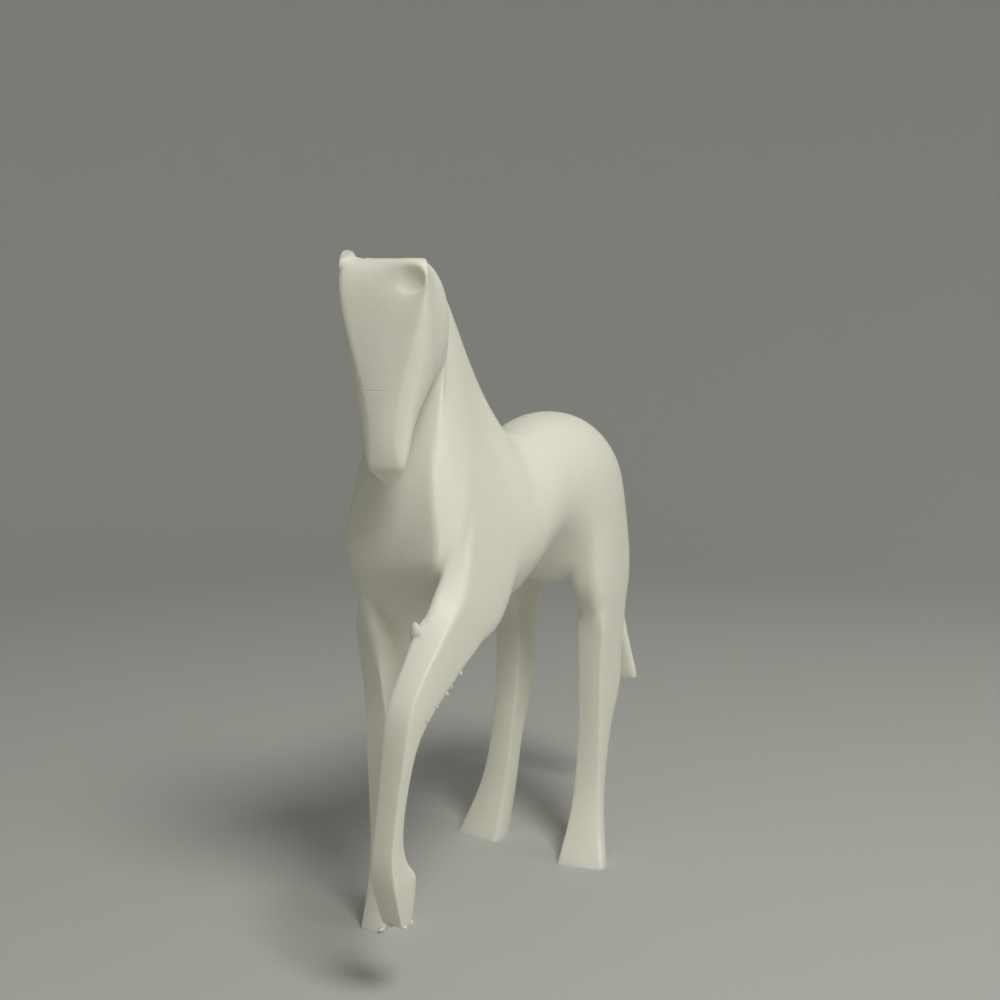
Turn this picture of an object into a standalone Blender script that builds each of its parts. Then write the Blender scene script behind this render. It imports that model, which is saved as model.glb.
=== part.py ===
"""A standing horse figurine, printed as one solid piece.

The horse walks slowly: three hooves carry it and its left foreleg is raised. Its form is one cage of lofted
rings: a chain of twelve-sided rings runs from the rump over the trunk and neck to the muzzle, and each leg and
the tail grows from an opening in that chain. The right ear is a face of the poll drawn up into a stub, and the
left ear is a raised corner with a shallow hollow in front. A Subdivision Surface rounds the cage, and creased
edges keep the flat planes of the face, chest and legs.

Proportions are drawn at DRAWN_HEIGHT units tall, and every length is that share of HEIGHT. In the drawing,
t runs forward, w to the horse's left and z up.
"""

import bmesh
import bpy
import math

HEIGHT = 0.1225  # from the soles to the ear tips, in metres

DRAWN_HEIGHT = 123.32
CENTRE_T = -5.3  # middle of the drawn length, which becomes the origin
CENTRE_W = -0.31

SUBDIVISION = 1
SHARP_ANGLE = 80.0  # degrees, which leaves only the edges of the soles sharp

# Twelve-sided sections. Each entry is the share of the way from the top point to the bottom point, the share of
# the half width, and how far the point is pushed forward, for the five points between them on one side.
RUMP = ((0.05, 0.52, 0.0), (0.22, 0.90, 0.0), (0.46, 1.00, 0.0), (0.74, 0.92, 0.0), (0.97, 0.42, 0.0))
BODY = ((0.05, 0.46, 0.0), (0.24, 0.86, 0.0), (0.50, 1.00, 0.0), (0.76, 0.90, 0.0), (0.95, 0.46, 0.0))
WITHERS = ((0.05, 0.24, 0.0), (0.24, 0.66, 0.0), (0.50, 0.96, 0.0), (0.76, 0.98, 0.0), (0.98, 0.52, 0.0))
SHOULDER = ((0.05, 0.14, 0.0), (0.24, 0.46, 0.0), (0.50, 0.88, 1.5), (0.76, 1.04, 2.0), (1.00, 0.60, 2.0))
BREAST = ((0.05, 0.12, 0.0), (0.24, 0.42, 1.0), (0.50, 0.84, 4.0), (0.76, 1.04, 5.0), (0.96, 0.74, 2.5))
NECK = ((0.04, 0.13, 0.0), (0.26, 0.44, 0.0), (0.54, 0.78, 0.0), (0.82, 1.00, 0.0), (0.98, 0.86, 0.4))
POLL = ((0.02, 0.60, 0.0), (0.20, 0.93, 0.0), (0.50, 1.00, 0.0), (0.78, 0.88, 0.0), (0.97, 0.50, 0.0))
JAW = ((0.03, 0.40, 0.0), (0.24, 0.90, 0.0), (0.50, 1.00, 0.0), (0.78, 0.88, 0.0), (0.97, 0.50, 0.0))
BROW = ((0.00, 0.94, -0.4), (0.24, 1.00, 0.0), (0.52, 0.95, 0.0), (0.82, 0.80, 0.0), (0.97, 0.50, 0.0))
FACE = ((0.00, 0.79, -0.4), (0.24, 1.00, 0.0), (0.52, 0.98, 0.0), (0.82, 0.84, 0.0), (0.97, 0.50, 0.0))
MUZZLE = ((0.00, 0.52, -0.4), (0.24, 0.94, 0.0), (0.52, 1.00, 0.0), (0.82, 0.86, 0.0), (0.97, 0.50, 0.0))
CHIN = ((0.00, 0.80, -0.2), (0.28, 1.00, 0.0), (0.56, 0.80, 0.0), (0.80, 0.52, 0.0), (0.94, 0.24, 0.0))

# The chain of rings: top point t and z, bottom point t and z, half width, section.
CHAIN = (
    (-48.3, 82.5, -48.8, 69.5, 7.2, RUMP),
    (-44.0, 90.8, -45.5, 59.5, 12.9, RUMP),
    (-36.5, 95.8, -35.0, 56.4, 14.9, RUMP),
    (-27.0, 96.4, -22.5, 58.4, 14.6, RUMP),
    (-17.5, 94.3, -14.5, 65.0, 12.8, BODY),
    (-10.5, 91.6, -6.0, 61.8, 12.6, BODY),
    (-5.2, 92.4, 3.0, 57.8, 12.4, WITHERS),
    (-2.0, 95.4, 11.5, 57.0, 12.2, WITHERS),
    (2.0, 100.8, 20.5, 58.6, 12.2, SHOULDER),
    (5.8, 106.4, 29.4, 64.0, 12.4, BREAST),
    (9.6, 112.3, 33.2, 71.6, 11.7, NECK),
    (12.9, 118.0, 33.0, 81.0, 9.0, NECK),
    (16.8, 122.2, 30.4, 90.0, 6.4, NECK),
    (22.0, 123.2, 26.6, 99.5, 7.0, JAW),
    (31.0, 122.1, 28.0, 99.0, 7.7, POLL),
    (37.8, 121.5, 30.4, 98.4, 8.0, BROW),
    (39.6, 114.5, 32.2, 97.0, 7.9, BROW),
    (40.3, 106.0, 34.0, 95.2, 6.2, FACE),
    (40.7, 97.0, 35.8, 92.4, 4.6, MUZZLE),
    (41.2, 90.4, 36.8, 88.4, 3.9, MUZZLE),
    (40.6, 87.0, 38.0, 83.6, 3.6, CHIN),
)

# The weight lies over the standing right foreleg: how far a ring leans to that side.
LEAN = {8: 0.3, 9: 0.8, 10: 1.2, 11: 0.9, 12: 0.4}

# Points set by hand, by ring and side: the breast, where it flows down into the standing foreleg and out into the
# raised one, and the head's upper corners, which rise to the ears.
SET_POINTS = {
    (7, 7): (11.0, -5.6, 55.6),
    (8, 5): (21.5, 7.0, 60.5),
    (8, 6): (23.2, -2.2, 58.6),
    (8, 7): (24.8, -4.4, 56.4),
    (9, 5): (34.2, 8.1, 69.6),
    (9, 6): (30.2, -4.0, 62.6),
    (9, 7): (31.0, -9.6, 65.2),
    (9, 8): (28.0, -14.2, 72.0),
    (14, 11): (31.1, -4.9, 122.5),
    (15, 1): (38.9, 8.5, 121.9),
    (15, 11): (37.6, -8.3, 121.9),
    (16, 1): (39.2, 8.2, 114.5),
}

# Which rings of the chain belong to what.
REAR_RINGS = (1, 2, 3)
FORE_RINGS = (7, 8, 9)
HEAD_START = 13
LEG_SIDES = (3, 4, 5)

FACE_CREASE = 0.6
CHEST_CREASE = 0.6
CREST_CREASE = 0.5
SHOULDER_CREASE = 0.5
CHIN_CREASE = 0.25

HEAD_TURN = 10.0  # degrees to the horse's left
HEAD_PIVOT_T = 25.0
HEAD_LEAN = 1.45  # how far the poll stands to the horse's right of the muzzle
LEAN_FROM_Z = 80.0
LEAN_TO_Z = 122.0
TURN_SHARES = {11: 0.25, 12: 0.5, 13: 0.75}

# Leg rings, from the body down: front point t and z, back point t and z, inner w, outer w, and how far the inner
# front edge leads the outer one in t and z.
HIND_LEFT = (
    (-23.8, 58.0, -45.5, 59.5, 6.2, 14.9, 0.0, 0.0),
    (-27.2, 52.5, -42.5, 53.0, 7.9, 14.3, 0.0, 0.0),
    (-27.6, 46.0, -40.2, 46.0, 8.0, 13.9, 0.0, 0.0),
    (-27.4, 39.0, -40.2, 39.5, 8.2, 13.7, 0.0, 0.0),
    (-27.2, 33.0, -40.4, 34.5, 8.3, 13.7, 0.0, 0.0),
    (-26.8, 27.5, -35.2, 28.0, 8.5, 13.7, 0.0, 0.0),
    (-26.0, 20.0, -32.6, 20.0, 8.6, 13.8, 0.0, 0.0),
    (-24.4, 12.5, -30.2, 12.0, 8.6, 14.1, 0.0, 0.0),
    (-21.2, 6.5, -27.2, 6.0, 8.5, 15.6, 0.0, 0.0),
    (-16.7, 0.0, -23.4, 0.0, 8.0, 17.8, 0.0, 0.0),
)
HIND_RIGHT = (
    (-25.0, 58.0, -46.0, 59.5, 5.6, 14.9, 0.0, 0.0),
    (-30.0, 52.5, -43.2, 53.0, 7.4, 14.2, 0.0, 0.0),
    (-31.4, 46.0, -41.2, 46.0, 7.9, 13.8, 0.0, 0.0),
    (-31.6, 39.0, -41.2, 39.5, 8.1, 13.6, 0.0, 0.0),
    (-30.8, 31.5, -42.2, 33.0, 8.1, 13.6, 0.0, 0.0),
    (-29.6, 26.5, -36.8, 27.0, 8.2, 13.4, 0.0, 0.0),
    (-28.2, 19.5, -34.0, 19.5, 8.3, 13.6, 0.0, 0.0),
    (-26.6, 12.5, -32.4, 12.0, 8.3, 14.4, 0.0, 0.0),
    (-24.4, 6.5, -30.6, 6.0, 8.2, 16.0, 0.0, 0.0),
    (-21.2, 0.0, -28.4, 0.0, 8.0, 18.4, 0.0, 0.0),
)
FORE_RIGHT = (
    (25.6, 57.6, 11.6, 53.0, 7.8, 14.3, 3.8, 0.0),
    (25.0, 52.0, 15.6, 49.4, 7.2, 13.2, 2.9, 0.0),
    (24.8, 46.5, 18.4, 45.4, 7.2, 12.5, 1.8, 0.0),
    (24.8, 41.0, 19.2, 41.0, 7.2, 12.0, 0.8, 0.0),
    (24.8, 35.5, 19.6, 35.5, 7.4, 12.0, 0.0, 0.0),
    (24.0, 27.0, 19.9, 27.0, 7.6, 12.1, 0.0, 0.0),
    (23.5, 18.0, 19.5, 18.0, 7.6, 12.1, 0.0, 0.0),
    (23.7, 11.0, 18.7, 11.0, 7.6, 12.1, 0.0, 0.0),
    (25.1, 5.5, 18.4, 5.0, 7.6, 12.1, 0.0, 0.0),
    (27.2, 0.0, 18.6, 0.0, 7.6, 12.1, 0.0, 0.0),
)
FORE_LEFT = (
    (30.5, 66.0, 14.5, 57.2, 7.0, 12.9, 4.2, 1.0),
    (34.4, 62.6, 23.0, 56.3, 7.4, 12.5, 3.0, 0.6),
    (38.4, 59.2, 29.6, 53.6, 7.5, 12.3, 1.8, 0.0),
    (43.2, 55.0, 35.8, 50.2, 7.6, 12.2, 0.6, 0.0),
    (48.4, 50.0, 41.6, 47.2, 7.6, 12.2, 0.0, 0.0),
    (49.4, 44.6, 45.8, 43.6, 7.6, 11.9, 0.0, 0.0),
    (50.0, 37.0, 47.2, 36.6, 7.2, 11.0, 0.0, 0.0),
    (50.6, 29.5, 47.8, 29.3, 6.6, 10.2, 0.0, 0.0),
    (51.0, 25.0, 46.4, 24.0, 6.0, 10.0, 0.0, 0.0),
    (50.2, 20.0, 42.6, 20.2, 5.8, 10.3, 0.0, 0.0),
    (47.4, 13.6, 44.2, 13.2, 6.0, 9.6, 0.0, 0.0),
)
# How far the middle of the inner side stands forward and in, on the upper rings of the standing foreleg.
FORE_KEEL = {0: (7.6, 2.6), 1: (5.4, 1.2), 2: (3.0, 0.4)}
HIND_TOE_OUT = 9.5  # degrees at the sole, growing from the hock down
HIND_HEEL = 0.80  # width of the hind hoof's heel as a share of its toe
HOCK_ROW = 4
PLAIN_BULGE = 0.10  # of a leg's half width, how far the middle of each face stands proud

# Tail rings, from the dock down: back point t and z, front point t and z, half width, middle w.
TAIL = (
    (-52.5, 83.0, -50.0, 75.5, 3.4, 0.2),
    (-56.5, 74.0, -52.4, 70.5, 3.8, 0.8),
    (-59.0, 62.0, -54.6, 61.0, 4.0, 1.6),
    (-60.4, 50.0, -56.4, 49.6, 4.4, 2.3),
    (-61.2, 40.0, -57.8, 39.6, 5.6, 2.8),
    (-61.8, 31.5, -59.0, 30.0, 7.4, 3.2),
)

# The right ear's stub grows from one face of the head, and the left ear's hollow sinks into another. Each step of
# four points is the base face shifted forward, out and up and shrunk. A face is named by its ring and upper side.
EAR_STUB = ((0.6, 0.5, 0.9, 0.84), (1.5, 0.1, 3.4, 0.46))
STUB_FACE = (14, 1)
EAR_HOLLOW = ((-0.2, 1.1, -0.4, 0.62), (-0.8, 1.6, -1.0, 0.30))
HOLLOW_FACE = (15, 0)

PLASTIC_COLOUR = (0.85, 0.86, 0.80, 1.0)
PLASTIC_ROUGHNESS = 0.42


class Cage:
    """Points and faces of the cage, and the crease of its edges."""

    def __init__(self):
        self.points = []
        self.faces = []
        self.creases = {}

    def add_ring(self, points):
        start = len(self.points)
        self.points.extend(points)
        return list(range(start, start + len(points)))

    def join(self, ring_a, ring_b, left_out=()):
        count = len(ring_a)
        for side in range(count):
            if side not in left_out:
                following = (side + 1) % count
                self.faces.append((ring_a[side], ring_a[following], ring_b[following], ring_b[side]))

    def crease(self, line, value, closed=False):
        ends = line[1:] + line[:1] if closed else line[1:]
        for first, second in zip(line, ends):
            self.creases[frozenset((first, second))] = value


def between(a, b, share):
    return a + (b - a) * share


def chain_ring(row):
    """Twelve points round one ring: the top point, five down the left side, the bottom point, five up the right."""
    top_t, top_z, bottom_t, bottom_z, half_width, section = row
    left = [(between(top_t, bottom_t, down) + push, half_width * out, between(top_z, bottom_z, down))
            for down, out, push in section]
    right = [(t, -w, z) for t, w, z in reversed(left)]
    return [(top_t, 0.0, top_z)] + left + [(bottom_t, 0.0, bottom_z)] + right


def settle_ring(points, number):
    """Leans a ring towards the standing foreleg and puts in the points that are set by hand."""
    lean = LEAN.get(number, 0.0)
    return [SET_POINTS.get((number, side), (t, w - lean, z)) for side, (t, w, z) in enumerate(points)]


def turn_head(points, share):
    """Turns points about the upright line through the head's pivot."""
    angle = math.radians(HEAD_TURN) * share
    turned = []
    for t, w, z in points:
        reach = t - HEAD_PIVOT_T
        lean = HEAD_LEAN * share * (z - LEAN_FROM_Z) / (LEAN_TO_Z - LEAN_FROM_Z)
        turned.append((HEAD_PIVOT_T + reach * math.cos(angle) - w * math.sin(angle),
                       reach * math.sin(angle) + w * math.cos(angle) - lean, z))
    return turned


def leg_ring(row, side, toe_out=0.0, heel=1.0, keel=(0.0, 0.0)):
    """Eight points round one leg ring, in the order of the opening that the leg grows from."""
    front_t, front_z, back_t, back_z, inner, outer, lead_t, lead_z = row
    middle_t = (front_t + back_t) / 2
    middle_z = (front_z + back_z) / 2
    middle_w = (inner + outer) / 2
    bulge = PLAIN_BULGE * (outer - inner) / 2
    ring = [(back_t, outer, back_z), (back_t - bulge, middle_w, back_z), (back_t, inner, back_z),
            (middle_t + keel[0], inner - bulge - keel[1], middle_z), (front_t + lead_t, inner, front_z + lead_z),
            (front_t + lead_t / 2 + bulge, middle_w, front_z + lead_z / 2),
            (front_t, outer, front_z), (middle_t, outer + bulge, middle_z)]
    angle = math.radians(toe_out)
    turned = []
    for t, w, z in ring:
        forward = t - middle_t
        out = (w - middle_w) * (heel if forward < -0.1 else 1.0)
        turned.append((middle_t + forward * math.cos(angle) - out * math.sin(angle),
                       side * (middle_w + forward * math.sin(angle) + out * math.cos(angle)), z))
    return turned


def add_leg(cage, rings, chain_rings, rows, side, toe_out=0.0, heel=1.0, keels=None):
    """Grows a leg from the opening between three rings of the chain and closes it with its sole."""
    sides = LEG_SIDES if side > 0 else [12 - index for index in LEG_SIDES]
    upper, middle, lower = sides
    rear, mid, fore = [rings[index] for index in chain_rings]
    loop = [rear[upper], rear[middle], rear[lower], mid[lower], fore[lower], fore[middle], fore[upper], mid[upper]]
    lines = [loop]
    for number, row in enumerate(rows):
        share = max(0.0, (number - HOCK_ROW) / (len(rows) - 1 - HOCK_ROW))
        keel = keels.get(number, (0.0, 0.0)) if keels else (0.0, 0.0)
        ring = cage.add_ring(leg_ring(row, side, toe_out * share, between(1.0, heel, share), keel))
        cage.join(lines[-1], ring)
        lines.append(ring)
    cage.faces.append(tuple(lines[-1]))
    cage.crease(lines[-1], 1.0, closed=True)
    for corner, value in ((0, 0.35), (2, 0.35), (4, 0.7), (6, 0.7)):
        cage.crease([ring[corner] for ring in lines[2:]], value)
    if chain_rings == FORE_RINGS:
        cage.crease([ring[6] for ring in lines[:3]], SHOULDER_CREASE)
    return lines


def add_tail(cage, rings):
    """Grows the tail from the opening at the dock, with six points a ring."""
    loop = [rings[0][11], rings[0][0], rings[0][1], rings[1][1], rings[1][0], rings[1][11]]
    for back_t, back_z, front_t, front_z, half_width, middle in TAIL:
        ring = cage.add_ring([(front_t, middle - half_width * 0.9, front_z), (front_t, middle, front_z),
                              (front_t, middle + half_width * 0.9, front_z), (back_t + 0.6, middle + half_width, back_z),
                              (back_t, middle, back_z), (back_t + 0.6, middle - half_width, back_z)])
        cage.join(loop, ring)
        loop = ring
    cage.faces.append((loop[0], loop[1], loop[4], loop[5]))
    cage.faces.append((loop[1], loop[2], loop[3], loop[4]))
    cage.crease(loop, 0.8, closed=True)


def face_of(rings, place, side):
    """The four points of one face of the chain, on the left side or the right."""
    ring_number, start = place
    first, second = (start, start + 1) if side > 0 else ((12 - start) % 12, 11 - start)
    return [rings[ring_number][first], rings[ring_number][second],
            rings[ring_number + 1][second], rings[ring_number + 1][first]]


def grow_face(cage, loop, steps, side):
    """Grows a form out of one face of the head, or sinks it in, and closes it."""
    base = [cage.points[index] for index in loop]
    centre = [sum(point[axis] for point in base) / 4 for axis in range(3)]
    for forward, out, up, shrink in steps:
        shift = (forward, side * out, up)
        ring = cage.add_ring([tuple(centre[axis] + (point[axis] - centre[axis]) * shrink + shift[axis]
                                    for axis in range(3)) for point in base])
        cage.join(loop, ring)
        loop = ring
    cage.faces.append(tuple(loop))


def build_cage():
    cage = Cage()
    rings = []
    for number, row in enumerate(CHAIN):
        share = 1.0 if number > HEAD_START else TURN_SHARES.get(number, 0.0)
        rings.append(cage.add_ring(turn_head(settle_ring(chain_ring(row), number), share)))
    openings = {0: {0, 11}}
    for first in (REAR_RINGS[0], REAR_RINGS[1], FORE_RINGS[0], FORE_RINGS[1]):
        openings[first] = {3, 4, 7, 8}
    openings[STUB_FACE[0]] = {11 - STUB_FACE[1]}
    openings[HOLLOW_FACE[0]] = {HOLLOW_FACE[1]}
    for number in range(len(rings) - 1):
        cage.join(rings[number], rings[number + 1], openings.get(number, ()))
    for end in (rings[0], rings[-1]):
        cage.faces.append((end[11], end[0], end[1]))
        cage.faces.append((end[5], end[6], end[7]))
        for low in range(1, 5):
            cage.faces.append((end[low], end[low + 1], end[11 - low], end[12 - low]))
    for face_edge in (1, 11):
        cage.crease([ring[face_edge] for ring in rings[HEAD_START + 1:]], FACE_CREASE)
    for front_edge, value in ((5, CHEST_CREASE), (7, CHEST_CREASE / 2)):
        cage.crease([ring[front_edge] for ring in rings[FORE_RINGS[-1]:HEAD_START]], value)
    cage.crease([ring[0] for ring in rings[FORE_RINGS[0]:HEAD_START]], CREST_CREASE)
    cage.crease([rings[-1][side] for side in (10, 11, 0, 1, 2)], CHIN_CREASE)
    add_leg(cage, rings, REAR_RINGS, HIND_LEFT, 1, HIND_TOE_OUT, HIND_HEEL)
    add_leg(cage, rings, REAR_RINGS, HIND_RIGHT, -1, HIND_TOE_OUT, HIND_HEEL)
    add_leg(cage, rings, FORE_RINGS, FORE_RIGHT, -1, keels=FORE_KEEL)
    add_leg(cage, rings, FORE_RINGS, FORE_LEFT, 1)
    add_tail(cage, rings)
    grow_face(cage, face_of(rings, STUB_FACE, -1), EAR_STUB, -1)
    grow_face(cage, face_of(rings, HOLLOW_FACE, 1), EAR_HOLLOW, 1)
    return cage


def plastic():
    material = bpy.data.materials.new("white_plastic")
    material.use_nodes = True
    shader = material.node_tree.nodes["Principled BSDF"]
    shader.inputs["Base Color"].default_value = PLASTIC_COLOUR
    shader.inputs["Roughness"].default_value = PLASTIC_ROUGHNESS
    return material


def make_horse():
    cage = build_cage()
    scale = HEIGHT / DRAWN_HEIGHT
    mesh = bpy.data.meshes.new("horse")
    mesh.from_pydata([((w - CENTRE_W) * scale, (CENTRE_T - t) * scale, z * scale) for t, w, z in cage.points],
                     [], cage.faces)
    shape = bmesh.new()
    shape.from_mesh(mesh)
    shape.verts.ensure_lookup_table()
    crease = shape.edges.layers.float.new("crease_edge")
    for ends, value in cage.creases.items():
        edge = shape.edges.get([shape.verts[index] for index in ends])
        if edge:
            edge[crease] = value
    bmesh.ops.delete(shape, geom=[vert for vert in shape.verts if not vert.link_faces], context="VERTS")
    bmesh.ops.recalc_face_normals(shape, faces=shape.faces)
    if shape.calc_volume(signed=True) < 0.0:
        bmesh.ops.reverse_faces(shape, faces=shape.faces)
    shape.to_mesh(mesh)
    shape.free()
    mesh.shade_smooth()
    mesh.set_sharp_from_angle(angle=math.radians(SHARP_ANGLE))
    horse = bpy.data.objects.new("horse", mesh)
    mesh.materials.append(plastic())
    rounding = horse.modifiers.new("rounding", "SUBSURF")
    rounding.levels = SUBDIVISION
    rounding.render_levels = SUBDIVISION
    return horse


def main():
    for item in list(bpy.data.objects):
        bpy.data.objects.remove(item, do_unlink=True)
    parts = bpy.data.collections.new("horse_figurine")
    bpy.context.scene.collection.children.link(parts)
    parts.objects.link(make_horse())


main()
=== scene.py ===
"""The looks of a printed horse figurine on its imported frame.

The surface is worked out here from the figurine's own cage of rings, in drawn units: t runs forward, w to
the horse's left and z up. The cage is smoothed three times over and then given what the print shows: shallow
forms, torn points where its supports stood, small lumps, ragged ends and faint seams between layers.

One smoothing of the cage moves each face's centre to the mean of its corners, each edge point to the mean of
its two ends and its two face centres, and each corner P with n faces to (F + 2 R + (n - 3) P) / n. There F
is the mean of the face centres and R the mean of the edge middles round it. A creased edge keeps its place by
its share.
"""

import math

import bmesh
import bpy
import numpy as np
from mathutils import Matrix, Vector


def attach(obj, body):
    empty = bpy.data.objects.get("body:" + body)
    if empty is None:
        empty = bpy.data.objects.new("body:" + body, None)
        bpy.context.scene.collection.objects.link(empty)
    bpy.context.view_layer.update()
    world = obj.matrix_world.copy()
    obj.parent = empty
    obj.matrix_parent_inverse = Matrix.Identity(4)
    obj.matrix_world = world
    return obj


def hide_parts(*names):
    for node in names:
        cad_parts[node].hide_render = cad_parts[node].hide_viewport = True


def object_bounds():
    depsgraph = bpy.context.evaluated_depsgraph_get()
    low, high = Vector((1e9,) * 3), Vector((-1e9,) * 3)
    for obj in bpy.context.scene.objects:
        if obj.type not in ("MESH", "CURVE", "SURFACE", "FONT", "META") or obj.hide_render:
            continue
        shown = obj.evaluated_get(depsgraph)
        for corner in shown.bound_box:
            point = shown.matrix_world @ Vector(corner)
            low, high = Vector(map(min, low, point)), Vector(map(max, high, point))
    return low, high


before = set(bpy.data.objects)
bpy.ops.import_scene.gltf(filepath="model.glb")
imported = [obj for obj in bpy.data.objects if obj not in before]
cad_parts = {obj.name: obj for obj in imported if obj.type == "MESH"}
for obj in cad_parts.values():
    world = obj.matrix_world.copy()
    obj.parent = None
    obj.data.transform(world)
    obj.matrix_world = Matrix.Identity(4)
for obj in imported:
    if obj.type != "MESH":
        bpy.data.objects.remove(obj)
cad_low, cad_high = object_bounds()

HEIGHT = 0.1225  # from the soles to the ear tips, in metres

DRAWN_HEIGHT = 123.32
CENTRE_T = -5.3  # middle of the drawn length, which becomes the origin
CENTRE_W = -0.31

# Twelve-sided sections. Each entry is the share of the way from the top point to the bottom point, the share
# of the half width, and how far the point is pushed forward, for the five points between them on one side.
RUMP = ((0.05, 0.52, 0.0), (0.22, 0.90, 0.0), (0.46, 1.00, 0.0), (0.74, 0.92, 0.0), (0.97, 0.42, 0.0))
BODY = ((0.05, 0.46, 0.0), (0.24, 0.86, 0.0), (0.50, 1.00, 0.0), (0.76, 0.90, 0.0), (0.95, 0.46, 0.0))
WITHERS = ((0.05, 0.24, 0.0), (0.24, 0.66, 0.0), (0.50, 0.96, 0.0), (0.76, 0.98, 0.0), (0.98, 0.52, 0.0))
SHOULDER = ((0.05, 0.14, 0.0), (0.24, 0.46, 0.0), (0.50, 0.88, 1.5), (0.76, 1.04, 2.0), (1.00, 0.60, 2.0))
BREAST = ((0.05, 0.12, 0.0), (0.24, 0.42, 1.0), (0.50, 0.84, 4.0), (0.76, 1.04, 5.0), (0.96, 0.74, 2.5))
NECK = ((0.04, 0.13, 0.0), (0.26, 0.44, 0.0), (0.54, 0.78, 0.0), (0.82, 1.00, 0.0), (0.98, 0.86, 0.4))
POLL = ((0.02, 0.60, 0.0), (0.20, 0.93, 0.0), (0.50, 1.00, 0.0), (0.78, 0.88, 0.0), (0.97, 0.50, 0.0))
JAW = ((0.03, 0.40, 0.0), (0.24, 0.90, 0.0), (0.50, 1.00, 0.0), (0.78, 0.88, 0.0), (0.97, 0.50, 0.0))
BROW = ((0.00, 0.94, -0.4), (0.24, 1.00, 0.0), (0.52, 0.95, 0.0), (0.82, 0.80, 0.0), (0.97, 0.50, 0.0))
FACE = ((0.00, 0.79, -0.4), (0.24, 1.00, 0.0), (0.52, 0.98, 0.0), (0.82, 0.84, 0.0), (0.97, 0.50, 0.0))
MUZZLE = ((0.00, 0.52, -0.4), (0.24, 0.94, 0.0), (0.52, 1.00, 0.0), (0.82, 0.86, 0.0), (0.97, 0.50, 0.0))
CHIN = ((0.00, 0.80, -0.2), (0.28, 1.00, 0.0), (0.56, 0.80, 0.0), (0.80, 0.52, 0.0), (0.94, 0.24, 0.0))

# The chain of rings: top point t and z, bottom point t and z, half width, section.
CHAIN = (
    (-48.3, 82.5, -48.8, 69.5, 7.2, RUMP),
    (-44.0, 90.8, -45.5, 59.5, 12.9, RUMP),
    (-36.5, 95.8, -35.0, 56.4, 14.9, RUMP),
    (-27.0, 96.4, -22.5, 58.4, 14.6, RUMP),
    (-17.5, 94.3, -14.5, 65.0, 12.8, BODY),
    (-10.5, 91.6, -6.0, 61.8, 12.6, BODY),
    (-5.2, 92.4, 3.0, 57.8, 12.4, WITHERS),
    (-2.0, 95.4, 11.5, 57.0, 12.2, WITHERS),
    (2.0, 100.8, 20.5, 58.6, 12.2, SHOULDER),
    (5.8, 106.4, 29.4, 64.0, 12.4, BREAST),
    (9.6, 112.3, 33.2, 71.6, 11.7, NECK),
    (12.9, 118.0, 33.0, 81.0, 9.0, NECK),
    (16.8, 122.2, 30.4, 90.0, 6.4, NECK),
    (22.0, 123.2, 26.6, 99.5, 7.0, JAW),
    (31.0, 122.1, 28.0, 99.0, 7.7, POLL),
    (37.8, 121.5, 30.4, 98.4, 8.0, BROW),
    (39.6, 114.5, 32.2, 97.0, 7.9, BROW),
    (40.3, 106.0, 34.0, 95.2, 6.2, FACE),
    (40.7, 97.0, 35.8, 92.4, 4.6, MUZZLE),
    (41.2, 90.4, 36.8, 88.4, 3.9, MUZZLE),
    (40.6, 87.0, 38.0, 83.6, 3.6, CHIN),
)

# The weight lies over the standing right foreleg: how far a ring leans to that side.
LEAN = {8: 0.3, 9: 0.8, 10: 1.2, 11: 0.9, 12: 0.4}

# Points given one by one, by ring and side: the breast, where it flows down into the standing foreleg and out
# into the raised one, and the head's upper corners, which rise to the ears.
SET_POINTS = {
    (7, 7): (11.0, -5.6, 55.6),
    (8, 5): (21.5, 7.0, 60.5),
    (8, 6): (23.2, -2.2, 58.6),
    (8, 7): (24.8, -4.4, 56.4),
    (9, 5): (34.2, 8.1, 69.6),
    (9, 6): (30.2, -4.0, 62.6),
    (9, 7): (31.0, -9.6, 65.2),
    (9, 8): (28.0, -14.2, 72.0),
    (14, 11): (31.1, -4.9, 122.5),
    (15, 1): (38.9, 8.5, 121.9),
    (15, 11): (37.6, -8.3, 121.9),
    (16, 1): (39.2, 8.2, 114.5),
}

# Which rings of the chain belong to what.
REAR_RINGS = (1, 2, 3)
FORE_RINGS = (7, 8, 9)
HEAD_START = 13
LEG_SIDES = (3, 4, 5)

FACE_CREASE = 0.6
CHEST_CREASE = 0.6
CREST_CREASE = 0.5
SHOULDER_CREASE = 0.5
CHIN_CREASE = 0.25

HEAD_TURN = 10.0  # degrees to the horse's left
HEAD_PIVOT_T = 25.0
HEAD_LEAN = 1.45  # how far the poll stands to the horse's right of the muzzle
LEAN_FROM_Z = 80.0
LEAN_TO_Z = 122.0
TURN_SHARES = {11: 0.25, 12: 0.5, 13: 0.75}

# Leg rings, from the body down: front point t and z, back point t and z, inner w, outer w, and how far the
# inner front edge leads the outer one in t and z.
HIND_LEFT = (
    (-23.8, 58.0, -45.5, 59.5, 6.2, 14.9, 0.0, 0.0),
    (-27.2, 52.5, -42.5, 53.0, 7.9, 14.3, 0.0, 0.0),
    (-27.6, 46.0, -40.2, 46.0, 8.0, 13.9, 0.0, 0.0),
    (-27.4, 39.0, -40.2, 39.5, 8.2, 13.7, 0.0, 0.0),
    (-27.2, 33.0, -40.4, 34.5, 8.3, 13.7, 0.0, 0.0),
    (-26.8, 27.5, -35.2, 28.0, 8.5, 13.7, 0.0, 0.0),
    (-26.0, 20.0, -32.6, 20.0, 8.6, 13.8, 0.0, 0.0),
    (-24.4, 12.5, -30.2, 12.0, 8.6, 14.1, 0.0, 0.0),
    (-21.2, 6.5, -27.2, 6.0, 8.5, 15.6, 0.0, 0.0),
    (-16.7, 0.0, -23.4, 0.0, 8.0, 17.8, 0.0, 0.0),
)
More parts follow.
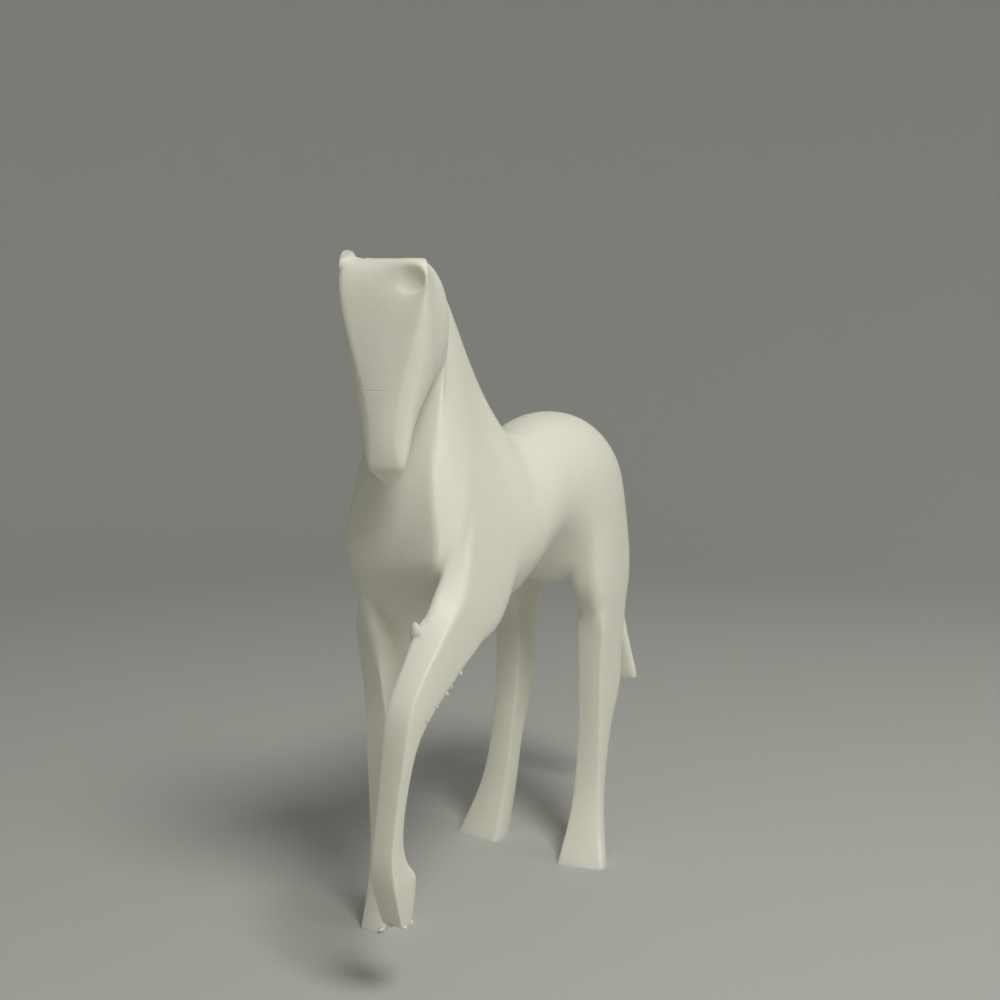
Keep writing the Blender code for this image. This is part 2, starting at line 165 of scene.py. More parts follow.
HIND_RIGHT = (
    (-25.0, 58.0, -46.0, 59.5, 5.6, 14.9, 0.0, 0.0),
    (-30.0, 52.5, -43.2, 53.0, 7.4, 14.2, 0.0, 0.0),
    (-31.4, 46.0, -41.2, 46.0, 7.9, 13.8, 0.0, 0.0),
    (-31.6, 39.0, -41.2, 39.5, 8.1, 13.6, 0.0, 0.0),
    (-30.8, 31.5, -42.2, 33.0, 8.1, 13.6, 0.0, 0.0),
    (-29.6, 26.5, -36.8, 27.0, 8.2, 13.4, 0.0, 0.0),
    (-28.2, 19.5, -34.0, 19.5, 8.3, 13.6, 0.0, 0.0),
    (-26.6, 12.5, -32.4, 12.0, 8.3, 14.4, 0.0, 0.0),
    (-24.4, 6.5, -30.6, 6.0, 8.2, 16.0, 0.0, 0.0),
    (-21.2, 0.0, -28.4, 0.0, 8.0, 18.4, 0.0, 0.0),
)
FORE_RIGHT = (
    (25.6, 57.6, 11.6, 53.0, 7.8, 14.3, 3.8, 0.0),
    (25.0, 52.0, 15.6, 49.4, 7.2, 13.2, 2.9, 0.0),
    (24.8, 46.5, 18.4, 45.4, 7.2, 12.5, 1.8, 0.0),
    (24.8, 41.0, 19.2, 41.0, 7.2, 12.0, 0.8, 0.0),
    (24.8, 35.5, 19.6, 35.5, 7.4, 12.0, 0.0, 0.0),
    (24.0, 27.0, 19.9, 27.0, 7.6, 12.1, 0.0, 0.0),
    (23.5, 18.0, 19.5, 18.0, 7.6, 12.1, 0.0, 0.0),
    (23.7, 11.0, 18.7, 11.0, 7.6, 12.1, 0.0, 0.0),
    (25.1, 5.5, 18.4, 5.0, 7.6, 12.1, 0.0, 0.0),
    (27.2, 0.0, 18.6, 0.0, 7.6, 12.1, 0.0, 0.0),
)
FORE_LEFT = (
    (30.5, 66.0, 14.5, 57.2, 7.0, 12.9, 4.2, 1.0),
    (34.4, 62.6, 23.0, 56.3, 7.4, 12.5, 3.0, 0.6),
    (38.4, 59.2, 29.6, 53.6, 7.5, 12.3, 1.8, 0.0),
    (43.2, 55.0, 35.8, 50.2, 7.6, 12.2, 0.6, 0.0),
    (48.4, 50.0, 41.6, 47.2, 7.6, 12.2, 0.0, 0.0),
    (49.4, 44.6, 45.8, 43.6, 7.6, 11.9, 0.0, 0.0),
    (50.0, 37.0, 47.2, 36.6, 7.2, 11.0, 0.0, 0.0),
    (50.6, 29.5, 47.8, 29.3, 6.6, 10.2, 0.0, 0.0),
    (51.0, 25.0, 46.4, 24.0, 6.0, 10.0, 0.0, 0.0),
    (50.2, 20.0, 42.6, 20.2, 5.8, 10.3, 0.0, 0.0),
    (47.4, 13.6, 44.2, 13.2, 6.0, 9.6, 0.0, 0.0),
)
# How far the middle of the inner side stands forward and in, on the upper rings of the standing foreleg.
FORE_KEEL = {0: (7.6, 2.6), 1: (5.4, 1.2), 2: (3.0, 0.4)}
HIND_TOE_OUT = 9.5  # degrees at the sole, growing from the hock down
HIND_HEEL = 0.80  # width of the hind hoof's heel as a share of its toe
HOCK_ROW = 4
PLAIN_BULGE = 0.10  # of a leg's half width, how far the middle of each face stands proud
# A leg's corners by their place in the ring, and how sharp the edge down each one is.
LEG_CREASES = ((0, 0.35), (2, 0.35), (4, 0.7), (6, 0.7))

# Tail rings, from the dock down: back point t and z, front point t and z, half width, middle w.
TAIL = (
    (-52.5, 83.0, -50.0, 75.5, 3.4, 0.2),
    (-56.5, 74.0, -52.4, 70.5, 3.8, 0.8),
    (-59.0, 62.0, -54.6, 61.0, 4.0, 1.6),
    (-60.4, 50.0, -56.4, 49.6, 4.4, 2.3),
    (-61.2, 40.0, -57.8, 39.6, 5.6, 2.8),
    (-61.8, 31.5, -59.0, 30.0, 7.4, 3.2),
)
TAIL_FRONT_SHARE = 0.9  # half width of the tail's front as a share of its back's
TAIL_EDGE_STEP = 0.6  # how far the edges of the tail's back stand forward of its middle
TAIL_END_CREASE = 0.8

# The right ear's stub grows from one face of the head, and the left ear's hollow sinks into another. Each
# step of four points is the base face shifted forward, out and up and shrunk. A face is named by its ring and
# upper side.
EAR_STUB = ((0.6, 0.5, 0.9, 0.84), (1.5, 0.1, 3.4, 0.46))
STUB_FACE = (14, 1)
EAR_HOLLOW = ((-0.2, 1.1, -0.4, 0.62), (-0.8, 1.6, -1.0, 0.30))
HOLLOW_FACE = (15, 0)


class Cage:
    """Points and faces of the cage, and the crease of its edges."""

    def __init__(self):
        self.points = []
        self.faces = []
        self.creases = {}

    def add_ring(self, points):
        start = len(self.points)
        self.points.extend(points)
        return list(range(start, start + len(points)))

    def join(self, ring_a, ring_b, left_out=()):
        count = len(ring_a)
        for side in range(count):
            if side not in left_out:
                following = (side + 1) % count
                self.faces.append((ring_a[side], ring_a[following], ring_b[following], ring_b[side]))

    def crease(self, line, value, closed=False):
        ends = line[1:] + line[:1] if closed else line[1:]
        for first, second in zip(line, ends):
            self.creases[frozenset((first, second))] = value


def between(a, b, share):
    return a + (b - a) * share


def chain_ring(row):
    """Twelve points round one ring: top point, five down the left side, bottom point, five up the right."""
    top_t, top_z, bottom_t, bottom_z, half_width, section = row
    left = [(between(top_t, bottom_t, down) + push, half_width * out, between(top_z, bottom_z, down))
            for down, out, push in section]
    right = [(t, -w, z) for t, w, z in reversed(left)]
    return [(top_t, 0.0, top_z)] + left + [(bottom_t, 0.0, bottom_z)] + right


def settle_ring(points, number):
    """Leans a ring towards the standing foreleg and puts in the points that are listed one by one."""
    lean = LEAN.get(number, 0.0)
    return [SET_POINTS.get((number, side), (t, w - lean, z)) for side, (t, w, z) in enumerate(points)]


def turn_head(points, share):
    """Turns points about the upright line through the head's pivot."""
    angle = math.radians(HEAD_TURN) * share
    turned = []
    for t, w, z in points:
        reach = t - HEAD_PIVOT_T
        lean = HEAD_LEAN * share * (z - LEAN_FROM_Z) / (LEAN_TO_Z - LEAN_FROM_Z)
        turned.append((HEAD_PIVOT_T + reach * math.cos(angle) - w * math.sin(angle),
                       reach * math.sin(angle) + w * math.cos(angle) - lean, z))
    return turned


def leg_ring(row, side, toe_out=0.0, heel=1.0, keel=(0.0, 0.0)):
    """Eight points round one leg ring, in the order of the opening that the leg grows from."""
    front_t, front_z, back_t, back_z, inner, outer, lead_t, lead_z = row
    middle_t = (front_t + back_t) / 2
    middle_z = (front_z + back_z) / 2
    middle_w = (inner + outer) / 2
    bulge = PLAIN_BULGE * (outer - inner) / 2
    ring = [(back_t, outer, back_z), (back_t - bulge, middle_w, back_z), (back_t, inner, back_z),
            (middle_t + keel[0], inner - bulge - keel[1], middle_z),
            (front_t + lead_t, inner, front_z + lead_z),
            (front_t + lead_t / 2 + bulge, middle_w, front_z + lead_z / 2),
            (front_t, outer, front_z), (middle_t, outer + bulge, middle_z)]
    angle = math.radians(toe_out)
    turned = []
    for t, w, z in ring:
        forward = t - middle_t
        out = (w - middle_w) * (heel if forward < -0.1 else 1.0)
        turned.append((middle_t + forward * math.cos(angle) - out * math.sin(angle),
                       side * (middle_w + forward * math.sin(angle) + out * math.cos(angle)), z))
    return turned


def add_leg(cage, rings, chain_rings, rows, side, toe_out=0.0, heel=1.0, keels=None):
    """Grows a leg from the opening between three rings of the chain and closes it with its sole."""
    sides = LEG_SIDES if side > 0 else [12 - index for index in LEG_SIDES]
    upper, middle, lower = sides
    rear, mid, fore = [rings[index] for index in chain_rings]
    loop = [rear[upper], rear[middle], rear[lower], mid[lower],
            fore[lower], fore[middle], fore[upper], mid[upper]]
    lines = [loop]
    for number, row in enumerate(rows):
        share = max(0.0, (number - HOCK_ROW) / (len(rows) - 1 - HOCK_ROW))
        keel = keels.get(number, (0.0, 0.0)) if keels else (0.0, 0.0)
        ring = cage.add_ring(leg_ring(row, side, toe_out * share, between(1.0, heel, share), keel))
        cage.join(lines[-1], ring)
        lines.append(ring)
    cage.faces.append(tuple(lines[-1]))
    cage.crease(lines[-1], 1.0, closed=True)
    for corner, value in LEG_CREASES:
        cage.crease([ring[corner] for ring in lines[2:]], value)
    if chain_rings == FORE_RINGS:
        cage.crease([ring[6] for ring in lines[:3]], SHOULDER_CREASE)


def add_tail(cage, rings):
    """Grows the tail from the opening at the dock, with six points a ring."""
    loop = [rings[0][11], rings[0][0], rings[0][1], rings[1][1], rings[1][0], rings[1][11]]
    for back_t, back_z, front_t, front_z, half_width, middle in TAIL:
        front_half = half_width * TAIL_FRONT_SHARE
        edge_t = back_t + TAIL_EDGE_STEP
        ring = cage.add_ring([(front_t, middle - front_half, front_z), (front_t, middle, front_z),
                              (front_t, middle + front_half, front_z), (edge_t, middle + half_width, back_z),
                              (back_t, middle, back_z), (edge_t, middle - half_width, back_z)])
        cage.join(loop, ring)
        loop = ring
    cage.faces.append((loop[0], loop[1], loop[4], loop[5]))
    cage.faces.append((loop[1], loop[2], loop[3], loop[4]))
    cage.crease(loop, TAIL_END_CREASE, closed=True)


def face_of(rings, place, side):
    """The four points of one face of the chain, on the left side or the right."""
    ring_number, start = place
    first, second = (start, start + 1) if side > 0 else ((12 - start) % 12, 11 - start)
    return [rings[ring_number][first], rings[ring_number][second],
            rings[ring_number + 1][second], rings[ring_number + 1][first]]


def grow_face(cage, loop, steps, side):
    """Grows a form out of one face of the head, or sinks it in, and closes it."""
    base = [cage.points[index] for index in loop]
    centre = [sum(point[axis] for point in base) / 4 for axis in range(3)]
    for forward, out, up, shrink in steps:
        shift = (forward, side * out, up)
        ring = cage.add_ring([tuple(centre[axis] + (point[axis] - centre[axis]) * shrink + shift[axis]
                                    for axis in range(3)) for point in base])
        cage.join(loop, ring)
        loop = ring
    cage.faces.append(tuple(loop))


def build_cage():
    cage = Cage()
    rings = []
    for number, row in enumerate(CHAIN):
        share = 1.0 if number > HEAD_START else TURN_SHARES.get(number, 0.0)
        rings.append(cage.add_ring(turn_head(settle_ring(chain_ring(row), number), share)))
    openings = {0: {0, 11}}
    for first in (REAR_RINGS[0], REAR_RINGS[1], FORE_RINGS[0], FORE_RINGS[1]):
        openings[first] = {3, 4, 7, 8}
    openings[STUB_FACE[0]] = {11 - STUB_FACE[1]}
    openings[HOLLOW_FACE[0]] = {HOLLOW_FACE[1]}
    for number in range(len(rings) - 1):
        cage.join(rings[number], rings[number + 1], openings.get(number, ()))
    for end in (rings[0], rings[-1]):
        cage.faces.append((end[11], end[0], end[1]))
        cage.faces.append((end[5], end[6], end[7]))
        for low in range(1, 5):
            cage.faces.append((end[low], end[low + 1], end[11 - low], end[12 - low]))
    for face_edge in (1, 11):
        cage.crease([ring[face_edge] for ring in rings[HEAD_START + 1:]], FACE_CREASE)
    for front_edge, value in ((5, CHEST_CREASE), (7, CHEST_CREASE / 2)):
        cage.crease([ring[front_edge] for ring in rings[FORE_RINGS[-1]:HEAD_START]], value)
    cage.crease([ring[0] for ring in rings[FORE_RINGS[0]:HEAD_START]], CREST_CREASE)
    cage.crease([rings[-1][side] for side in (10, 11, 0, 1, 2)], CHIN_CREASE)
    add_leg(cage, rings, REAR_RINGS, HIND_LEFT, 1, HIND_TOE_OUT, HIND_HEEL)
    add_leg(cage, rings, REAR_RINGS, HIND_RIGHT, -1, HIND_TOE_OUT, HIND_HEEL)
    add_leg(cage, rings, FORE_RINGS, FORE_RIGHT, -1, keels=FORE_KEEL)
    add_leg(cage, rings, FORE_RINGS, FORE_LEFT, 1)
    add_tail(cage, rings)
    grow_face(cage, face_of(rings, STUB_FACE, -1), EAR_STUB, -1)
    grow_face(cage, face_of(rings, HOLLOW_FACE, 1), EAR_HOLLOW, 1)
    return cage


LAYER = 0.00025  # height of one printed layer, in metres
# Faint seams between layers: height z, middle t and w, reach, and depth.
SEAM_WIDTH = 0.00012
SEAMS = ((99.8, 40.5, 1.5, 3.6, 0.4), (64.6, -11.0, 10.0, 6.0, 0.4), (20.6, 50.0, 8.0, 3.0, 0.3),
         (18.6, 50.0, 8.0, 3.0, 0.3))
LIGHT_TINT = (0.82, 0.815, 0.735, 1.0)
WARM_TINT = (0.76, 0.745, 0.63, 1.0)
SPECK_TINT = (0.16, 0.15, 0.12, 1.0)
SPECK_REACH = 0.00045
# How strongly each part of the relief shows, and the height that one unit of it stands for, in metres.
LAYER_RELIEF = 0.22
COARSE_RELIEF = 1.6
FINE_RELIEF = 0.35
SEAM_RELIEF = 2.4
RELIEF_HEIGHT = 0.00006
RELIEF_STRENGTH = 0.7
FLOOR_COLOUR = (0.52, 0.52, 0.50, 1.0)
DISH_FLAT = 0.42
DISH_BEND = 0.40
DISH_TOP = 1.1
SKY_COLOUR = (0.95, 0.96, 0.93, 1.0)
SKY_STRENGTH = 0.30
LIGHTS = (
    ("key", (0.34, -0.22, 0.60), (0.0, 0.0, 0.07), 0.26, 2.7, (1.0, 0.995, 0.94)),
    ("side", (0.60, 0.10, 0.20), (0.0, 0.0, 0.06), 0.40, 0.45, (1.0, 0.99, 0.94)),
)
CAMERA_PLACE = (198.9, 104.6, 100.0)  # drawn t, w, z
CAMERA_HEADING = 27.0  # degrees
CAMERA_DOWN = 5.46  # degrees
CAMERA_FOCAL = 41.4  # millimetres on a 36 mm sensor

LEVEL = 3
CREASE_LOOK = 50.0  # degrees

# Shallow forms on the smooth surface: centre t, w, z, reach, and height along the normal, negative in a
# hollow.
FORMS = (
    ((38.6, 5.6, 117.0), 3.0, -0.35),
    ((-15.5, 11.5, 66.0), 6.5, -0.9),
    ((-16.0, -11.5, 66.0), 6.5, -0.9),
    ((44.3, 9.7, 21.4), 1.6, 0.35),
    ((23.0, 0.0, 61.0), 4.0, -0.3),
)

# Torn support points under the raised foreleg. Each row here and below starts with a place t, w, z, and the
# nearest point of the surface is where the form stands. A torn point has a length and a radius.
TORN_WAY = (-0.3, 0.6, -0.7)
FLAKE_WAY = (0.0, 0.1, -1.0)
TORN_SUNK = 0.2
LUMP_SUNK = 0.1
TEETH = (
    ((32.1, 12.0, 52.6), 0.80, 0.50),
    ((35.7, 12.0, 50.9), 0.65, 0.42),
    ((36.8, 12.0, 50.2), 0.75, 0.46),
    ((40.4, 12.0, 48.8), 0.60, 0.42),
    ((43.4, 12.0, 47.5), 0.70, 0.44),
)
# Small lumps of plastic, half sunk in the surface: t, w, z, and radii along t, w and z.
LUMPS = (
    ((39.1, 7.2, 60.0), (0.50, 1.00, 2.0)),
    ((46.1, 5.8, 13.4), (0.70, 0.60, 0.34)),
    ((47.2, 7.5, 13.4), (0.70, 0.65, 0.40)),
    ((46.4, 8.3, 13.4), (0.60, 0.55, 0.36)),
    ((46.9, 9.7, 13.4), (0.55, 0.55, 0.34)),
    ((44.4, 9.2, 13.4), (0.65, 0.60, 0.36)),
    ((26.6, -7.9, 0.6), (0.70, 0.55, 0.32)),
    ((25.6, -7.5, 0.5), (0.60, 0.50, 0.28)),
)
# Flakes at the tail's torn end, hanging down, with a length and a radius.
FLAKES = (
    ((-60.2, 8.8, 31.4), 0.9, 0.50),
    ((-60.2, 7.4, 30.6), 1.3, 0.50),
    ((-60.4, 5.6, 30.2), 1.6, 0.55),
    ((-60.3, 3.2, 30.4), 1.0, 0.50),
    ((-60.3, 0.6, 30.6), 0.8, 0.45),
    ((-60.2, -2.0, 30.8), 1.0, 0.50),
)
SPECK = (10.6, 3.0, 94.9)  # a dark grain in the plastic at the foot of the neck

# Where the edge is torn: centre t, w, z, reach, and how far the waves go up and down.
RAGGED = (
    ((36.0, -6.2, 122.6), 3.4, 0.20),
    ((46.5, 7.8, 13.8), 2.6, 0.25),
    ((-60.4, 3.2, 30.6), 8.0, 0.28),
)


def smoothed_cage():
    """Points, normals and four-sided faces of the smoothed cage, in drawn units."""
    cage = build_cage()
    mesh = bpy.data.meshes.new("cage")
    mesh.from_pydata(cage.points, [], cage.faces)
    shape = bmesh.new()
    shape.from_mesh(mesh)
    shape.verts.ensure_lookup_table()
    crease = shape.edges.layers.float.new("crease_edge")
    for ends, value in cage.creases.items():
        edge = shape.edges.get([shape.verts[index] for index in ends])
        if edge:
            edge[crease] = value
    bmesh.ops.delete(shape, geom=[vert for vert in shape.verts if not vert.link_faces], context="VERTS")
    bmesh.ops.recalc_face_normals(shape, faces=shape.faces)
    if shape.calc_volume(signed=True) < 0.0:
        bmesh.ops.reverse_faces(shape, faces=shape.faces)
    shape.to_mesh(mesh)
    shape.free()
    holder = bpy.data.objects.new("cage", mesh)
    bpy.context.scene.collection.objects.link(holder)
    rounding = holder.modifiers.new("rounding", "SUBSURF")
    rounding.levels = LEVEL
    rounding.render_levels = LEVEL
    smooth = bpy.data.meshes.new_from_object(holder.evaluated_get(bpy.context.evaluated_depsgraph_get()))
    points = np.empty(len(smooth.vertices) * 3)
    normals = np.empty(len(smooth.vertices) * 3)
    corners = np.empty(len(smooth.loops), dtype=np.int64)
    smooth.vertices.foreach_get("co", points)
    smooth.vertices.foreach_get("normal", normals)
    smooth.loops.foreach_get("vertex_index", corners)
    bpy.data.objects.remove(holder, do_unlink=True)
    bpy.data.meshes.remove(mesh)
    bpy.data.meshes.remove(smooth)
    return points.reshape(-1, 3), normals.reshape(-1, 3), corners.reshape(-1, 4)


def carve(points, normals):
    """Adds the forms and the torn edges to the smooth surface.

    A form moves each point along its normal by height * exp(-(distance / reach) squared). A torn edge lifts it
    by height * (0.6 sin(5.3 w + 1.7 t) + 0.4 sin(11 w - 3.1 t + 1)) * exp(-(distance / reach) to the fourth).
    """
    moved = points.copy()
    for centre, reach, height in FORMS:
        distance = np.linalg.norm(points - np.array(centre), axis=1)
        moved += normals * (height * np.exp(-(distance / reach) ** 2))[:, None]
    for centre, reach, height in RAGGED:
        t, w, z = points.T
        wave = np.sin(5.3 * w + 1.7 * t) * 0.6 + np.sin(11.0 * w - 3.1 * t + 1.0) * 0.4
        distance = np.linalg.norm((points - np.array(centre)) * np.array((0.8, 1.0, 2.0)), axis=1)
        moved[:, 2] += height * wave * np.exp(-(distance / reach) ** 4)
    low, high = points.min(axis=0), points.max(axis=0)
    return np.clip(moved, low, high)


def tube(path, radii, sides=7):
    """A closed tapering tube: a regular polygon of the given radius round each point, square to the path."""
    path = np.array(path, dtype=float)
    along = np.gradient(path, axis=0)
    along /= np.linalg.norm(along, axis=1)[:, None]
    guide = np.array((0.0, 0.2, 1.0)) if abs(along[0][2]) < 0.8 else np.array((1.0, 0.1, 0.0))
    first = np.cross(along, guide)
    first /= np.linalg.norm(first, axis=1)[:, None]
    second = np.cross(along, first)
    turn = np.arange(sides) * 2.0 * math.pi / sides
    ring = first[:, None, :] * np.cos(turn)[None, :, None] + second[:, None, :] * np.sin(turn)[None, :, None]
    points = (path[:, None, :] + ring * np.array(radii)[:, None, None]).reshape(-1, 3)
    faces = []
    for row in range(len(path) - 1):
        for side in range(sides):
            following = (side + 1) % sides
            faces.append((row * sides + side, row * sides + following,
                          (row + 1) * sides + following, (row + 1) * sides + side))
    faces.append(tuple(range(sides))[::-1])
    faces.append(tuple((len(path) - 1) * sides + side for side in range(sides)))
    return points, faces


def rooted(points, normals, place, sunk):
    """The point of the surface nearest to a place, sunk along its normal."""
    nearest = int(np.argmin(np.linalg.norm(points - np.array(place), axis=1)))
    return points[nearest] - normals[nearest] * sunk


def spike(base, way, length, radius):
    """A torn point: a line bent by a half sine, with radius * sqrt(share of its length that is left)."""
    steps = np.linspace(0.0, 1.0, 5)
    way = np.array(way) / np.linalg.norm(way)
    bend = np.array((0.12, 0.05, 0.0)) * radius
    path = base + np.outer(length * steps, way) + np.outer(np.sin(steps * math.pi), bend)
    return tube(path, radius * np.sqrt(np.maximum(1.0 - steps, 0.02)))


def lump(centre, radii):
    """A dented ellipsoid on a grid of two angles, fall from the top and turn round it.

    A point is centre + radii * (d sin fall cos turn, d sin fall sin turn, cos fall), with the dent
    d = 1 + 0.12 sin(3 turn + centre t) sin fall.
    """
    rings, sides = 7, 12
    fall, turn = np.meshgrid(math.pi * (np.arange(rings) + 0.5) / rings,
                             2.0 * math.pi * np.arange(sides) / sides, indexing="ij")
    dent = 1.0 + 0.12 * np.sin(3.0 * turn + centre[0]) * np.sin(fall)
    level = dent * np.sin(fall)
    shape = np.stack((level * np.cos(turn), level * np.sin(turn), np.cos(fall)), axis=2)
    points = (np.array(centre) + np.array(radii) * shape).reshape(-1, 3)
    faces = [tuple(range(sides))]
    for row in range(rings - 1):
        for side in range(sides):
            following = (side + 1) % sides
            faces.append(((row + 1) * sides + side, (row + 1) * sides + following,
                          row * sides + following, row * sides + side))
    faces.append(tuple((rings - 1) * sides + side for side in range(sides))[::-1])
    return points, faces


def to_world(points):
    """Drawn units to metres: x = w, y = -t and z, from the middle of the footprint."""
    t, w, z = points.T
    return np.stack((w - CENTRE_W, CENTRE_T - t, z), axis=1) * (HEIGHT / DRAWN_HEIGHT)


def make_surface():
    """The whole skin in one mesh: the carved cage with the torn points, flakes and lumps rooted on it."""
    points, normals, quads = smoothed_cage()
    points = carve(points, normals)
    sets = [(points, [tuple(quad) for quad in quads.tolist()])]
    for place, length, radius in TEETH:
        sets.append(spike(rooted(points, normals, place, TORN_SUNK), TORN_WAY, length, radius))
    for place, length, radius in FLAKES:
        sets.append(spike(rooted(points, normals, place, TORN_SUNK), FLAKE_WAY, length, radius))
    for place, radii in LUMPS:
        sets.append(lump(rooted(points, normals, place, LUMP_SUNK), radii))
    everything = []
    faces = []
    for some, some_faces in sets:
        start = sum(len(each) for each in everything)
        everything.append(some)
        faces.extend(tuple(index + start for index in face) for face in some_faces)
    world = np.clip(to_world(np.concatenate(everything)), np.array(cad_low), np.array(cad_high))
    mesh = bpy.data.meshes.new("horse_surface")
    mesh.from_pydata(world.tolist(), [], faces)
    mesh.shade_smooth()
    mesh.set_sharp_from_angle(angle=math.radians(CREASE_LOOK))
    piece = bpy.data.objects.new("horse_surface", mesh)
    bpy.context.scene.collection.objects.link(piece)
    return piece


class Nodes:
    """Adds nodes to a material and joins them."""

    def __init__(self, name):
        self.material = bpy.data.materials.new(name)
        self.material.use_nodes = True
        self.tree = self.material.node_tree
        self.shader = self.tree.nodes["Principled BSDF"]

    def add(self, kind, **values):
        node = self.tree.nodes.new(kind)
        for name, value in values.items():
            setattr(node, name, value)
        return node

    def put(self, value, socket):
        if isinstance(value, bpy.types.NodeSocket):
            self.tree.links.new(value, socket)
        else:
            socket.default_value = value

    def calculate(self, operation, *values):
        node = self.add("ShaderNodeMath", operation=operation)
        for value, socket in zip(values, node.inputs):
            self.put(value, socket)
        return node.outputs[0]

    def noise(self, vector, scale, detail=3.0):
        node = self.add("ShaderNodeTexNoise")
        self.put(vector, node.inputs["Vector"])
        node.inputs["Scale"].default_value = scale
        node.inputs["Detail"].default_value = detail
        return node.outputs["Fac"]

    def bell(self, value, middle, width):
        """exp(-((value - middle) / width) squared)"""
        offset = self.calculate("DIVIDE", self.calculate("SUBTRACT", value, middle), width)
        squared = self.calculate("MULTIPLY", offset, offset)
        return self.calculate("EXPONENT", self.calculate("MULTIPLY", squared, -1.0))


def plastic_material():
    """Warm white plastic, a little translucent, laid down in thin layers."""
    nodes = Nodes("white_plastic_print")
    scale = HEIGHT / DRAWN_HEIGHT
    place = nodes.add("ShaderNodeTexCoord").outputs["Object"]
    split = nodes.add("ShaderNodeSeparateXYZ")
    nodes.put(place, split.inputs[0])
    across, back, up = split.outputs
    layers = nodes.calculate("SINE", nodes.calculate("MULTIPLY", up, 2.0 * math.pi / LAYER))
    patches = nodes.noise(place, 90.0)
    coarse = nodes.noise(place, 420.0, 2.0)
    fine = nodes.noise(place, 2600.0, 2.0)
    seams = 0.0
    for z, t, w, reach, depth in SEAMS:
        height = nodes.bell(up, z * scale, SEAM_WIDTH)
        here = nodes.bell(back, (CENTRE_T - t) * scale, reach * scale)
        side = nodes.bell(across, (w - CENTRE_W) * scale, reach * scale)
        spread = nodes.calculate("MULTIPLY", here, nodes.calculate("MULTIPLY", side, depth))
        seams = nodes.calculate("ADD", seams, nodes.calculate("MULTIPLY", height, spread))
    relief = nodes.calculate("MULTIPLY", layers, nodes.calculate("MULTIPLY", patches, LAYER_RELIEF))
    relief = nodes.calculate("ADD", relief, nodes.calculate("MULTIPLY", coarse, COARSE_RELIEF))
    relief = nodes.calculate("ADD", relief, nodes.calculate("MULTIPLY", fine, FINE_RELIEF))
    relief = nodes.calculate("SUBTRACT", relief, nodes.calculate("MULTIPLY", seams, SEAM_RELIEF))
    bump = nodes.add("ShaderNodeBump")
    bump.inputs["Strength"].default_value = RELIEF_STRENGTH
    bump.inputs["Distance"].default_value = RELIEF_HEIGHT
    nodes.put(relief, bump.inputs["Height"])
    nodes.put(bump.outputs[0], nodes.shader.inputs["Normal"])
    tint = nodes.add("ShaderNodeMix", data_type="RGBA")
    nodes.put(nodes.calculate("MULTIPLY", patches, 0.5), tint.inputs["Factor"])
    tint.inputs["A"].default_value = LIGHT_TINT
    tint.inputs["B"].default_value = WARM_TINT
    speck = nodes.add("ShaderNodeVectorMath", operation="DISTANCE")
    nodes.put(place, speck.inputs[0])
    speck.inputs[1].default_value = to_world(np.array([SPECK]))[0]
    dirt = nodes.bell(speck.outputs["Value"], 0.0, SPECK_REACH)
    marked = nodes.add("ShaderNodeMix", data_type="RGBA")
    nodes.put(nodes.calculate("MULTIPLY", dirt, 0.8), marked.inputs["Factor"])
    nodes.put(tint.outputs["Result"], marked.inputs["A"])
    marked.inputs["B"].default_value = SPECK_TINT
    nodes.put(marked.outputs["Result"], nodes.shader.inputs["Base Color"])
    rough = nodes.calculate("ADD", 0.40, nodes.calculate("MULTIPLY", coarse, 0.14))
    nodes.put(rough, nodes.shader.inputs["Roughness"])
    nodes.shader.inputs["IOR"].default_value = 1.46
    nodes.shader.inputs["Subsurface Weight"].default_value = 0.30
    nodes.shader.inputs["Subsurface Radius"].default_value = (1.0, 0.82, 0.48)
    nodes.shader.inputs["Subsurface Scale"].default_value = 0.0035
    return nodes.material


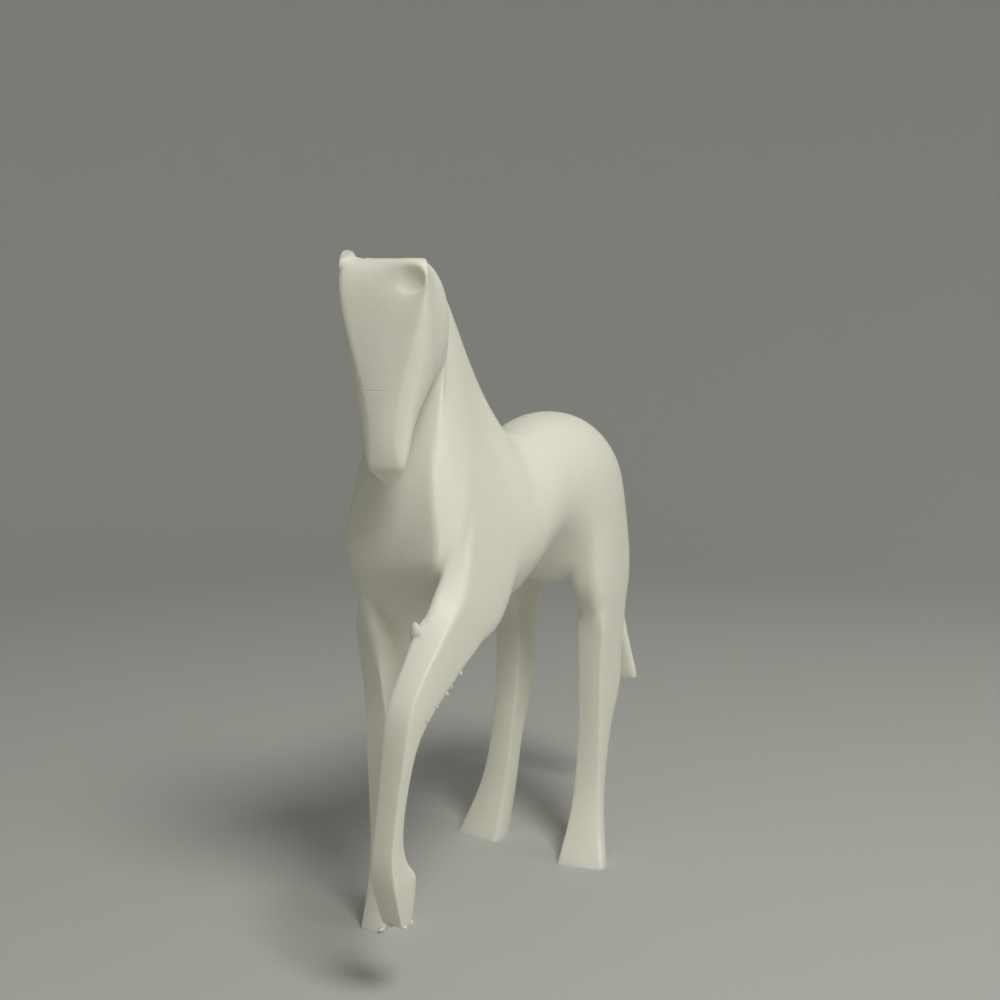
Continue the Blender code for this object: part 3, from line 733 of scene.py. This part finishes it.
def make_stage():
    """A pale dish: flat out to its radius, then a quarter circle up all round it."""
    profile = [(radius, 0.0) for radius in np.linspace(0.0, DISH_FLAT, 12)]
    profile += [(DISH_FLAT + DISH_BEND * math.sin(turn), DISH_BEND * (1.0 - math.cos(turn)))
                for turn in np.linspace(0.1, math.pi / 2, 14)]
    profile += [(DISH_FLAT + DISH_BEND, DISH_TOP)]
    sides = 96
    turns = [2 * math.pi * side / sides for side in range(sides)]
    points = [(radius * math.cos(turn), radius * math.sin(turn), height)
              for radius, height in profile[1:] for turn in turns]
    points.append((0.0, 0.0, 0.0))
    faces = [(len(points) - 1, side, (side + 1) % sides) for side in range(sides)]
    for row in range(len(profile) - 2):
        for side in range(sides):
            following = (side + 1) % sides
            faces.append((row * sides + side, (row + 1) * sides + side,
                          (row + 1) * sides + following, row * sides + following))
    mesh = bpy.data.meshes.new("floor")
    mesh.from_pydata(points, [], faces)
    mesh.shade_smooth()
    floor = bpy.data.objects.new("floor", mesh)
    bpy.context.scene.collection.objects.link(floor)
    paint = Nodes("floor")
    paint.shader.inputs["Base Color"].default_value = FLOOR_COLOUR
    paint.shader.inputs["Roughness"].default_value = 0.7
    mesh.materials.append(paint.material)


def area_light(name, place, aim, size, watts, colour):
    light = bpy.data.lights.new(name, "AREA")
    light.shape = "DISK"
    light.size = size
    light.energy = watts
    light.color = colour
    holder = bpy.data.objects.new(name, light)
    bpy.context.scene.collection.objects.link(holder)
    away = np.array(place) - np.array(aim)
    flat = math.hypot(away[0], away[1])
    holder.location = place
    holder.rotation_euler = (math.atan2(flat, away[2]), 0.0, math.atan2(away[0], -away[1]))


def make_lights():
    world = bpy.data.worlds.new("studio")
    bpy.context.scene.world = world
    world.use_nodes = True
    world.node_tree.nodes["Background"].inputs["Color"].default_value = SKY_COLOUR
    world.node_tree.nodes["Background"].inputs["Strength"].default_value = SKY_STRENGTH
    for light in LIGHTS:
        area_light(*light)


def make_camera():
    lens = bpy.data.cameras.new("camera")
    lens.sensor_width = 36.0
    lens.lens = CAMERA_FOCAL
    lens.clip_start = 0.005
    lens.dof.use_dof = False
    camera = bpy.data.objects.new("camera", lens)
    bpy.context.scene.collection.objects.link(camera)
    camera.location = to_world(np.array([CAMERA_PLACE]))[0]
    camera.rotation_euler = (math.radians(90.0 - CAMERA_DOWN), 0.0, math.radians(CAMERA_HEADING))
    bpy.context.scene.camera = camera


piece = make_surface()
piece.data.materials.append(plastic_material())
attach(piece, "root")
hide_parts("horse")
make_stage()
make_lights()
make_camera()
bpy.context.scene.view_settings.view_transform = "Standard"
